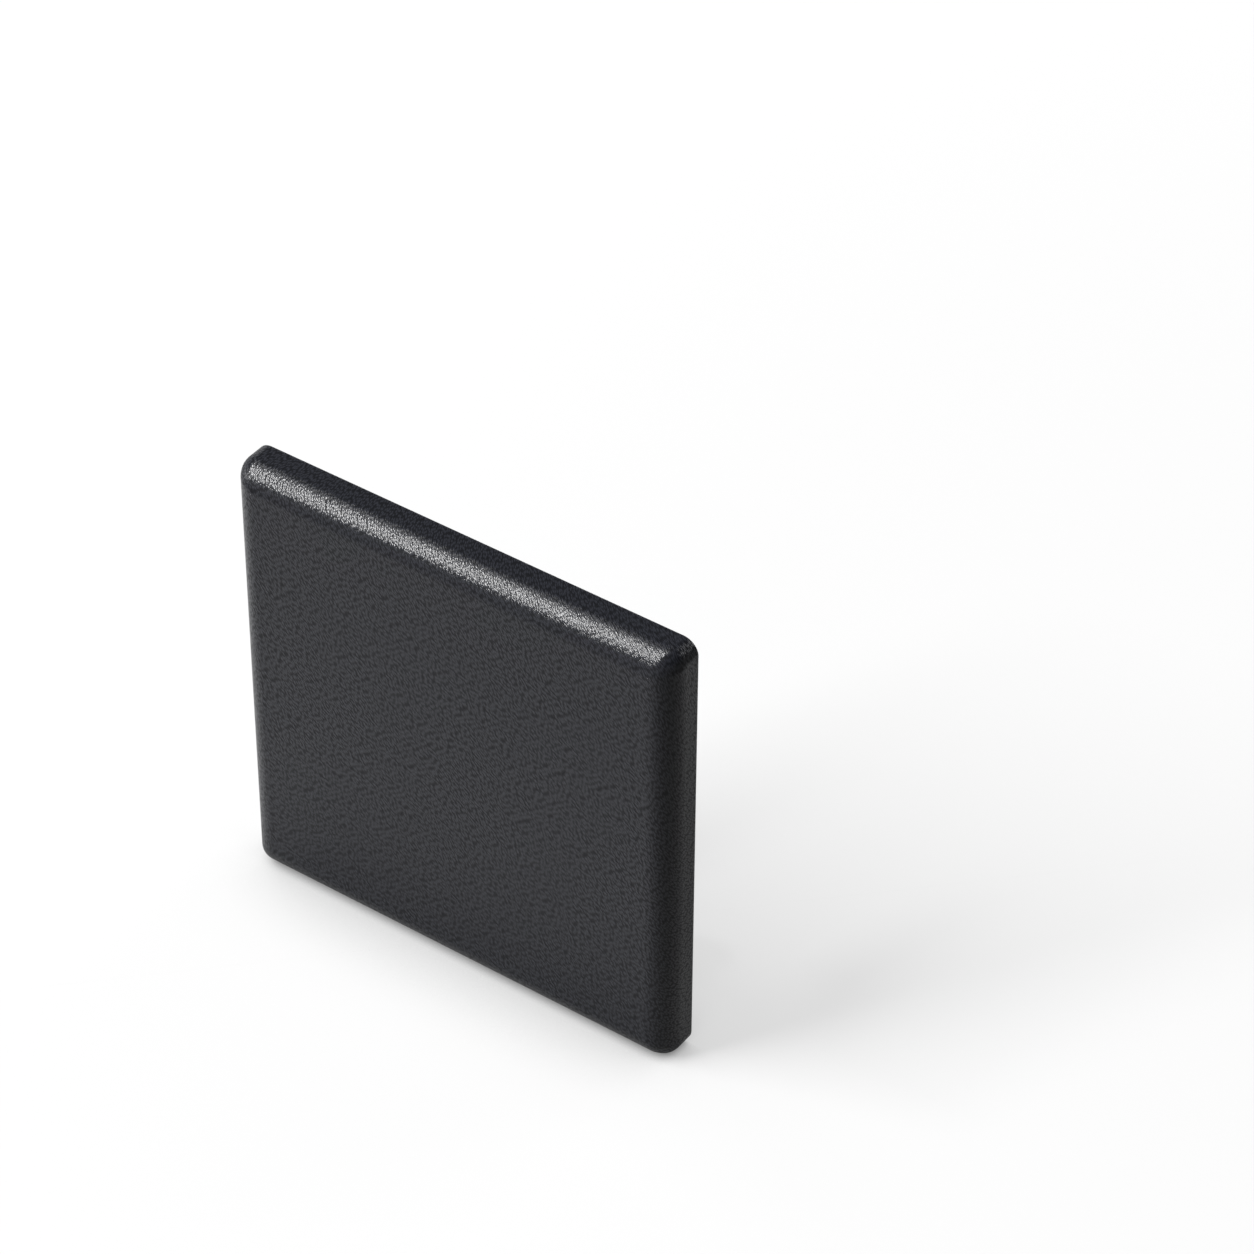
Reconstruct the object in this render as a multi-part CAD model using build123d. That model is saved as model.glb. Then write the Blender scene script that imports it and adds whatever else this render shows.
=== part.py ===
from build123d import *
import os

# A push-in end cap for a square slotted profile, moulded in one piece.
# Sizes are in millimetres. The origin is the centre of the seat face that bears on
# the profile's end. +Z is up, the visible front looks towards -Y, the pegs point to +Y.

# The plate, as large as the profile's own section
plate_side = 40.0
plate_thickness = 3.5
corner_radius = 1.3
front_edge_radius = 2.0

# The back, cored out between a rim, ribs and bosses so that the front shows no sinks
front_wall = 2.0
rim_width = 2.4
rib_width = 1.2
boss_diameter = 8.0
coring_corner_radius = 0.5

# The pegs, one for each core bore of the profile
pegs_per_row = 2
core_bore_pitch = 20.0
core_bore_diameter = 4.2

# Each peg's section, from its collar at the seat to its tip
collar_clearance = 0.05
collar_length = 1.8
shaft_relief = 0.25
barb_bite = 0.15
barb_count = 3
barb_gap = 0.4
barb_flank = 0.2
barb_land = 0.4
barb_ramp = 1.0
lead_in_length = 1.2
lead_in_taper = 0.75

# Worked out from the sizes above
coring_depth = plate_thickness - front_wall
collar_radius = core_bore_diameter / 2 - collar_clearance
shaft_radius = core_bore_diameter / 2 - shaft_relief
crest_radius = core_bore_diameter / 2 + barb_bite
nose_radius = crest_radius - lead_in_taper
barb_pitch = barb_gap + barb_flank + barb_land + barb_ramp
first_land = collar_length + barb_gap + barb_flank


def plate():
    """The square cover with rounded upright corners and rounded front edges."""
    blank = Box(plate_side, plate_thickness, plate_side, align=(Align.CENTER, Align.MAX, Align.CENTER))
    blank = fillet(blank.edges().filter_by(Axis.Y), corner_radius)
    front = blank.faces().sort_by(Axis.Y)[0]
    return fillet(front.edges(), front_edge_radius)


def peg_places():
    """Where the pegs stand on the seat face."""
    rows = GridLocations(core_bore_pitch, core_bore_pitch, pegs_per_row, pegs_per_row)
    return [seat_plane * place for place in rows]


def coring():
    """The shallow pockets between the rim, the ribs and the peg bosses."""
    reach = plate_side - 2 * rim_width
    pockets = Rectangle(reach, reach)
    for place in GridLocations(core_bore_pitch, core_bore_pitch, pegs_per_row, pegs_per_row):
        pockets -= place * Circle(boss_diameter / 2)
        pockets -= Pos(place.position.X, 0) * Rectangle(rib_width, plate_side)
        pockets -= Pos(0, place.position.Y) * Rectangle(plate_side, rib_width)
    rounded = Sketch() + [
        offset(offset(pocket, -coring_corner_radius), coring_corner_radius, kind=Kind.ARC)
        for pocket in pockets.faces()
    ]
    return extrude(seat_plane * rounded, -coring_depth)


def peg():
    """One barbed peg, turned about its own axis, with its foot in the boss."""
    outline = [(0, -coring_depth), (collar_radius, -coring_depth), (collar_radius, collar_length)]
    outline.append((shaft_radius, collar_length))
    for number in range(barb_count):
        land = first_land + number * barb_pitch
        outline.append((shaft_radius, land - barb_flank))
        outline.append((crest_radius, land))
        outline.append((crest_radius, land + barb_land))
        if number < barb_count - 1:
            outline.append((shaft_radius, land + barb_land + barb_ramp))
    tip = land + barb_land + lead_in_length
    outline.append((nose_radius, tip))
    outline.append((0, tip))
    return revolve(make_face(Polyline(*outline, close=True)), Axis.Y)


seat_plane = Plane((0, 0, 0), x_dir=(1, 0, 0), z_dir=(0, 1, 0))

end_cap = plate() - coring()
for place in peg_places():
    end_cap += Pos(place.position) * peg()

os.makedirs("parts", exist_ok=True)
end_cap.label = "end_cap"
export_step(end_cap, "parts/end_cap.step")
print("end_cap", "solids", len(end_cap.solids()), "volume", round(end_cap.volume, 1), "valid", end_cap.is_valid)
print("first land", first_land, "last land ends", first_land + (barb_count - 1) * barb_pitch + barb_land)
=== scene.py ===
import math

import bpy
from mathutils import Matrix, Vector


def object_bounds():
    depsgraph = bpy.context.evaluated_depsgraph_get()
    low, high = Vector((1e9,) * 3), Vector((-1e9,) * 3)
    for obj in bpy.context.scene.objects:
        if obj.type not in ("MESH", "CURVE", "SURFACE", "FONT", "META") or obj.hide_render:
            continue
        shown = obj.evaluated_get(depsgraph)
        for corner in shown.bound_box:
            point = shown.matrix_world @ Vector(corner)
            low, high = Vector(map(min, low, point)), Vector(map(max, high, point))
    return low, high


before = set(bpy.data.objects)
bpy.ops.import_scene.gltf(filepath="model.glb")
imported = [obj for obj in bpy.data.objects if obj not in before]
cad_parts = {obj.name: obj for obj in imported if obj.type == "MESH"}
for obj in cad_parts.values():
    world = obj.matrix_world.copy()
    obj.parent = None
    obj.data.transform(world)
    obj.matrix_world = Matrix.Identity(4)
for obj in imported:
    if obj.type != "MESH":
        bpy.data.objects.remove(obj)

cad_low, cad_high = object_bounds()


# The end cap: one injection-moulded piece of black plastic, most likely nylon. Its show
# side has the mould's fine spark-eroded grain. The pegs, the coring and the seat come from
# the plain core half and are smoother. Four barbed pegs, pressed in by hand, hold the cap.

class Socket:
    """A node's output, which adds Math nodes when it is used in an expression."""

    def __init__(self, output):
        self.output = output

    @staticmethod
    def of(tree, kind, settings=None, inputs=None, output=0):
        """Adds a node: its settings first, then the values or links of its inputs."""
        node = tree.nodes.new(kind)
        for name, setting in (settings or {}).items():
            setattr(node, name, setting)
        for name, value in (inputs or {}).items():
            if isinstance(value, Socket):
                tree.links.new(value.output, node.inputs[name])
            else:
                node.inputs[name].default_value = value
        return Socket(node.outputs[output])

    def maths(self, operation, *others):
        """Adds a Math node on this value and the others."""
        values = dict(enumerate((self, *others)))
        return Socket.of(self.output.id_data, "ShaderNodeMath", {"operation": operation}, values)

    def __add__(self, other):
        return self.maths("ADD", other)

    def __sub__(self, other):
        return self.maths("SUBTRACT", other)

    def __mul__(self, other):
        return self.maths("MULTIPLY", other)

    def __rsub__(self, other):
        return (self * -1.0).maths("ADD", other)

    __radd__ = __add__
    __rmul__ = __mul__

    def smooth(self, low, high):
        """0 below low and 1 above high, with a soft step between them."""
        return Socket.of(self.output.id_data, "ShaderNodeMapRange", {"interpolation_type": "SMOOTHSTEP"},
                         {"Value": self, "From Min": low, "From Max": high})

    def parts(self):
        """The three parts of a vector."""
        split = Socket.of(self.output.id_data, "ShaderNodeSeparateXYZ", {}, {"Vector": self})
        return [Socket(part) for part in split.output.node.outputs]


def new_material(name):
    """A material that has only its output node, and its node tree."""
    material = bpy.data.materials.new(name)
    material.use_nodes = True
    tree = material.node_tree
    tree.nodes.remove(tree.nodes["Principled BSDF"])
    return material, tree


# The mould's two halves, as places on the cap: the core half's skin starts just in front of
# the seat face and, out to just within the rim, just in front of the coring's floor.
seat_step = (-0.00012, -0.00004)
coring_floor_step = (-0.0019, -0.0017)
coring_reach_step = (0.0181, 0.0184)

# The grain's strokes: how far apart, how much longer than wide, how they lean and scatter,
# and how deep they are. Painted shade: the crests are painted paler and the valleys darker,
# and the pits between them get a darker copy of the black that hardly shines, as if in shade.
stroke_pitch = 1.0 / 6600.0
stroke_length = 3.0
stroke_lean = math.radians(-53.0)
stroke_scatter = 0.8
grain_depth = 0.000021
crest_step = (0.40, 0.90)
pit_step = (0.35, 0.75)
pit_share = 0.5

# The draw marks: how far apart, how much longer than wide, and how deep beside the grain.
mark_pitch = 1.0 / 5200.0
mark_length = 14.0
mark_depth = 0.35

# The finish: its own roughness, what the slow cloudiness and the core side add to it, how
# pale the core side is, how the skin shines, and how little the pits' painted shade shines.
cloud_pitch = 1.0 / 140.0
noise_detail = 2.0
show_roughness = 0.175
cloud_roughness = 0.05
core_roughness = 0.10
core_tone = 0.45
skin_shine = 0.248
pit_shine = 0.04
pit_roughness = 0.6

# Painted light and shade in the grain: its valleys and pits are darker and its crests paler.
valley_shaded_black = (0.0055, 0.0058, 0.0073, 1.0)
crest_lit_black = (0.0140, 0.0149, 0.0188, 1.0)
pit_shaded_black = (0.0035, 0.0037, 0.0046, 1.0)


def moulded_black():
    """Black plastic, grained on the show side with painted shade in its pits, and drawn smooth on the core
    side.
    """
    material, tree = new_material("moulded_black")
    place = Socket.of(tree, "ShaderNodeTexCoord", output="Object")
    across, depth, up = place.parts()

    seat = depth.smooth(*seat_step)
    from_centre = across.maths("ABSOLUTE").maths("MAXIMUM", up.maths("ABSOLUTE"))
    coring = (1.0 - from_centre.smooth(*coring_reach_step)) * depth.smooth(*coring_floor_step)
    core_side = seat.maths("MAXIMUM", coring)
    show_side = 1.0 - core_side

    # The grain is laid out on the front and carried on over its rounded edges onto the sides.
    spread = (depth - cad_low.y) * (1.0 / cad_high.x) + 1.0
    sheet = Socket.of(tree, "ShaderNodeCombineXYZ", {}, {"X": across * spread, "Y": up * spread})
    leaning = Socket.of(tree, "ShaderNodeMapping", {"vector_type": "TEXTURE"},
                        {"Vector": sheet, "Rotation": (0.0, 0.0, stroke_lean),
                         "Scale": (stroke_length, 1.0, 1.0)})
    cells = Socket.of(tree, "ShaderNodeTexVoronoi", {"voronoi_dimensions": "2D"},
                      {"Vector": leaning, "Scale": 1.0 / stroke_pitch, "Randomness": stroke_scatter},
                      "Distance")
    grain = 1.0 - cells
    # Painted shade in the grain's pits: there a darker, duller copy of the black takes over.
    painted_pit_shade = (1.0 - grain.smooth(*pit_step)) * show_side * pit_share

    # The draw marks of the core side run along the pegs.
    along = Socket.of(tree, "ShaderNodeMapping", {"vector_type": "TEXTURE"},
                      {"Vector": place, "Scale": (1.0, mark_length, 1.0)})
    marks = Socket.of(tree, "ShaderNodeTexNoise", {},
                      {"Vector": along, "Scale": 1.0 / mark_pitch, "Detail": noise_detail})

    cloud = Socket.of(tree, "ShaderNodeTexNoise", {},
                      {"Vector": place, "Scale": 1.0 / cloud_pitch, "Detail": noise_detail})
    height = grain * show_side + marks * core_side * mark_depth
    normal = Socket.of(tree, "ShaderNodeBump", {}, {"Distance": grain_depth, "Height": height}, "Normal")
    roughness = cloud * cloud_roughness + core_side * core_roughness + show_roughness
    # Painted light and shade: the grain's crests are paler than its valleys. The core side has its own
    # paler tone.
    crest_shade_and_core_tone = grain.smooth(*crest_step) * show_side + core_side * core_tone
    skin_colour = Socket.of(tree, "ShaderNodeMix", {"data_type": "RGBA"},
                            {"Factor": crest_shade_and_core_tone, 6: valley_shaded_black, 7: crest_lit_black}, 2)
    skin = Socket.of(tree, "ShaderNodeBsdfPrincipled", {},
                     {"Base Color": skin_colour, "Roughness": roughness,
                      "Specular IOR Level": skin_shine, "Normal": normal})
    pit = Socket.of(tree, "ShaderNodeBsdfPrincipled", {},
                    {"Base Color": pit_shaded_black, "Roughness": pit_roughness, "Specular IOR Level": pit_shine})
    both = Socket.of(tree, "ShaderNodeMixShader", {}, {0: painted_pit_shade, 1: skin, 2: pit})
    tree.links.new(both.output, tree.nodes["Material Output"].inputs["Surface"])
    return material


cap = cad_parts["end_cap"]
cap.material_slots[0].material = moulded_black()


# The floor: a wide sheet of matt paper that the cap's lower edge stands on. Its glow makes
# it look white and, as a painted contact shadow, fades close to the cap. The lamps' light leaves the cap's
# shadow on it.

floor_half = 3.0
floor_grey = (0.140, 0.140, 0.140, 1.0)
glow_near = 0.668
glow_added_far = 0.30
glow_rise = (0.03, 0.6)
paper_roughness = 0.9
# The painted contact shadow: how far the glow looks for the cap, and how it fades near it.
painted_shadow_samples = 8
painted_shadow_reach = 0.010
painted_shadow_step = (-0.20, 0.95)

# Painted reflections, which only the cap's reflections show: a dark card painted at the right,
# which keeps the right side dark, and a dark band painted round the cap, which draws the
# line under the top edge's highlight.
floor_painted_card_edge = (0.012, 0.032)
floor_painted_card_dark = 0.60
painted_band_start = (0.07, 0.11)
painted_band_end = (0.20, 0.40)
painted_band_dark = 0.80


def ray_kinds(tree):
    """Whether a ray comes from the camera, from a reflection or through something clear."""
    light_path = Socket.of(tree, "ShaderNodeLightPath").output.node.outputs
    return [Socket(light_path[name]) for name in ("Is Camera Ray", "Is Glossy Ray", "Is Transmission Ray")]


def floor():
    """The sheet, level with the cap's lowest edge."""
    corners = [(-floor_half, -floor_half, cad_low.z), (floor_half, -floor_half, cad_low.z),
               (floor_half, floor_half, cad_low.z), (-floor_half, floor_half, cad_low.z)]
    mesh = bpy.data.meshes.new("floor")
    mesh.from_pydata(corners, [], [(0, 1, 2, 3)])
    sheet = bpy.data.objects.new("floor", mesh)
    bpy.context.scene.collection.objects.link(sheet)
    material, tree = new_material("floor_white")
    direct, glossy, clear = ray_kinds(tree)
    across, depth, up = Socket.of(tree, "ShaderNodeTexCoord", output="Object").parts()

    # Painted reflections: a dark card at the right and a dark band round the cap, for glossy rays only.
    painted_dark_card = across.smooth(*floor_painted_card_edge)
    distance = (across * across + depth * depth).maths("SQRT")
    painted_band = distance.smooth(*painted_band_start) * (1.0 - distance.smooth(*painted_band_end))
    painted_shadow_openness = Socket.of(tree, "ShaderNodeAmbientOcclusion", {"samples": painted_shadow_samples},
                         {"Distance": painted_shadow_reach}, "AO")
    # Painted shadow: near the cap the glow fades for the camera, and more in the cap's reflections.
    straight = direct.maths("MAXIMUM", clear) * painted_shadow_openness.smooth(*painted_shadow_step)
    mirrored = glossy * painted_shadow_openness * painted_shadow_openness * (1.0 - painted_dark_card * floor_painted_card_dark) * (1.0 - painted_band * painted_band_dark)
    glow = (straight + mirrored) * (distance.smooth(*glow_rise) * glow_added_far + glow_near)
    paper = Socket.of(tree, "ShaderNodeBsdfPrincipled", {},
                      {"Base Color": floor_grey, "Roughness": paper_roughness, "Specular IOR Level": 0.0,
                       "Emission Color": glow, "Emission Strength": 1.0})
    tree.links.new(paper.output, tree.nodes["Material Output"].inputs["Surface"])
    mesh.materials.append(material)


floor()


# The light: a narrow soft box from the front left and above, with a weak one under it,
# wide weak ones from above, from the left and from behind, and an even grey surround.

lamp_distance = 1.2


def softbox(name, towards, width, height, power):
    """A rectangular lamp that looks at the cap. Its width runs as near to left and right as it can."""
    out = Vector(towards).normalized()
    right = Vector((1.0, 0.0, 0.0))
    tall = out.cross(right).normalized()
    wide = tall.cross(out)
    data = bpy.data.lights.new(name, "AREA")
    data.shape = "RECTANGLE"
    data.size = width
    data.size_y = height
    data.energy = power
    lamp = bpy.data.objects.new(name, data)
    turn = Matrix((wide, tall, out)).transposed().to_4x4()
    lamp.matrix_world = Matrix.Translation(out * lamp_distance) @ turn
    bpy.context.scene.collection.objects.link(lamp)


softbox("key_light", towards=(-0.475, -0.475, 0.74), width=0.14, height=0.96, power=39.5)
softbox("low_light", towards=(-0.62, -0.65, 0.43), width=0.14, height=0.40, power=1.6)
softbox("top_light", towards=(-0.45, 0.02, 0.89), width=0.35, height=0.50, power=3.4)
softbox("side_light", towards=(-0.85, -0.50, 0.15), width=0.50, height=0.50, power=4.5)
softbox("back_light", towards=(0.30, 0.90, 0.32), width=0.60, height=0.60, power=4.0)


# The surround: a white studio wall that darkens towards the ceiling and lights the cap only
# weakly. In the cap's reflections only, its right side is painted darker too, like the floor's.

wall_top = (0.15, 0.5)
ceiling_dark = 0.90
wall_painted_card_edge = (0.0, 0.5)
wall_painted_card_dark = 0.6
fill_light = 0.15


def surround():
    """What rays that leave the scene meet."""
    world = bpy.data.worlds.new("surround")
    bpy.context.scene.world = world
    world.use_nodes = True
    tree = world.node_tree
    direct, glossy, clear = ray_kinds(tree)
    seen = direct.maths("MAXIMUM", glossy).maths("MAXIMUM", clear)
    right, ahead, height = Socket.of(tree, "ShaderNodeTexCoord", output="Generated").parts()
    # Painted reflection: only reflections see the wall's right side darker.
    painted_dark_card = glossy * right.smooth(*wall_painted_card_edge) * wall_painted_card_dark
    shown = (1.0 - height.smooth(*wall_top) * ceiling_dark) * (1.0 - painted_dark_card)
    strength = seen * shown + (1.0 - seen) * fill_light
    background = tree.nodes["Background"]
    background.inputs["Color"].default_value = (1.0, 1.0, 1.0, 1.0)
    tree.links.new(strength.output, background.inputs["Strength"])


surround()


# The camera: a long lens 0.36 m from the middle of the cap's front, at the photograph's
# viewing angle. It looks down at the front, the top and the right side.

camera_azimuth = math.radians(35.183)
camera_elevation = math.radians(40.010)
camera_roll = math.radians(0.355)
camera_place = Vector((0.166924, -0.217264, 0.241490))
camera_lens = 138.94
film_width = 36.0
nearest_seen = 0.01
farthest_seen = 20.0


def camera():
    """The camera, aimed by its azimuth, elevation and roll."""
    data = bpy.data.cameras.new("camera")
    data.lens = camera_lens
    data.sensor_width = film_width
    data.clip_start = nearest_seen
    data.clip_end = farthest_seen
    eye = bpy.data.objects.new("camera", data)
    bpy.context.scene.collection.objects.link(eye)
    ahead = Vector((-math.sin(camera_azimuth) * math.cos(camera_elevation),
                    math.cos(camera_azimuth) * math.cos(camera_elevation), -math.sin(camera_elevation)))
    turn = ahead.to_track_quat("-Z", "Y").to_matrix().to_4x4() @ Matrix.Rotation(camera_roll, 4, "Z")
    eye.matrix_world = Matrix.Translation(camera_place) @ turn
    bpy.context.scene.camera = eye


camera()

bpy.context.scene.view_settings.view_transform = "Standard"
